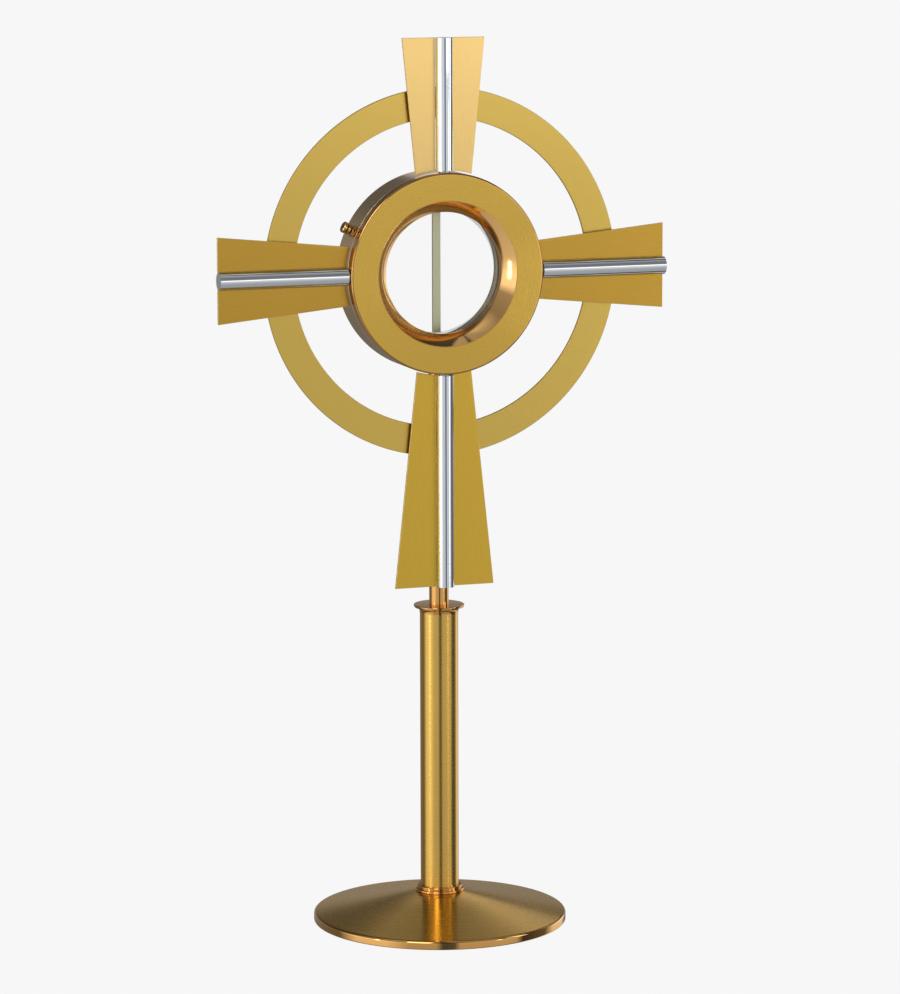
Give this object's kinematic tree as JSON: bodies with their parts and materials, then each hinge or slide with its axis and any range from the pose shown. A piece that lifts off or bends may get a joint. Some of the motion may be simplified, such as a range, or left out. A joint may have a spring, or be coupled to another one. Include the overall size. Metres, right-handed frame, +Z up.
{
  "type": "monstrance",
  "caption": "Standing altar monstrance with a glazed round window in a drum, a flat halo ring, flared arms with bright tubes, a tubular stem and a low conical base.",
  "frame": {"origin": "centre of the felt's underside, on the stem's axis", "axes": "+Z up along the stem, +Y towards the back, where the luna slides out, +X to the viewer's right"},
  "size_m": [0.317, 0.1746, 0.61],
  "materials": {
    "gold_satin": "satin gold plate, finely brushed",
    "gold_polished": "polished gold plate",
    "chrome": "bright polished",
    "steel": "turned, plain",
    "cast_iron": "as cast",
    "felt": "dense felt",
    "glass": "clear polished",
    "acrylic": "clear, edges faintly green",
    "stay": "sage grey satin"
  },
  "bodies": {
    "frame": {"base_shell": "gold_satin", "stem_tube": "gold_satin", "front_bezel": "gold_satin", "drum_barrel": "gold_satin", "back_plate": "gold_satin", "halo_ring": "gold_satin", "arm_top_left_plate": "gold_satin", "arm_top_right_plate": "gold_satin", "arm_right_upper_plate": "gold_satin", "arm_right_lower_plate": "gold_satin", "arm_left_upper_plate": "gold_satin", "arm_left_lower_plate": "gold_satin", "arm_bottom_left_plate": "gold_satin", "arm_bottom_right_plate": "gold_satin", "stem_collar": "gold_polished", "stem_cap": "gold_polished", "neck_rod": "gold_polished", "luna_sleeve": "gold_polished", "thumb_screw_bush": "gold_polished", "arm_top_tube": "chrome", "arm_right_tube": "chrome", "arm_bottom_tube": "chrome", "arm_left_tube": "chrome", "arm_end_plugs": "chrome", "tie_rod": "steel", "tie_rod_nut": "steel", "tie_rod_washer": "steel", "stem_foot_plug": "steel", "neck_stud": "steel", "neck_nut": "steel", "halo_spacers": "steel", "halo_screws": "steel", "backbone_screws": "steel", "lower_bracket": "steel", "arm_root_plugs": "steel", "arm_studs": "steel", "arm_stud_nuts": "steel", "base_weight": "cast_iron", "base_felt": "felt"},
    "luna": {"luna_case": "gold_satin", "luna_knurled_ring": "gold_polished", "luna_front_glass": "glass", "luna_chamber_ring": "acrylic", "luna_snap_ring": "gold_polished", "host_stay": "stay", "hinge_leaf_case": "gold_polished", "hinge_pin": "steel", "door_catch": "gold_polished"},
    "luna_door": {"door_ring": "gold_satin", "door_glass": "glass", "door_knob": "gold_polished", "hinge_leaf_door": "gold_polished"},
    "thumb_collar": {"thumb_screw_collar": "gold_polished"},
    "thumb_screw": {"thumb_screw": "gold_polished"}
  },
  "joints": [
    {"name": "luna_slide", "type": "slide", "parent": "frame", "child": "luna", "axis": [0, 1, 0], "range_m": [0, 0.05]},
    {"name": "luna_door_hinge", "type": "hinge", "parent": "luna", "child": "luna_door", "pos_m": [0.0572, 0.017, 0.4515], "axis": [0, 0, -1], "range_deg": [0, 115]},
    {"name": "thumb_screw_travel", "type": "slide", "parent": "frame", "child": "thumb_collar", "axis": [-0.9026, 0, 0.4305], "range_m": [0, 0.0016]},
    {"name": "thumb_screw_turn", "type": "hinge", "parent": "thumb_collar", "child": "thumb_screw", "pos_m": [-0.06318, -0.0075, 0.48164], "axis": [-0.9026, 0, 0.4305], "range_deg": [0, 720]}
  ],
  "couplings": [
    {"joint": "thumb_screw_turn", "follows": "thumb_screw_travel", "rad_per_m": 7850}
  ]
}
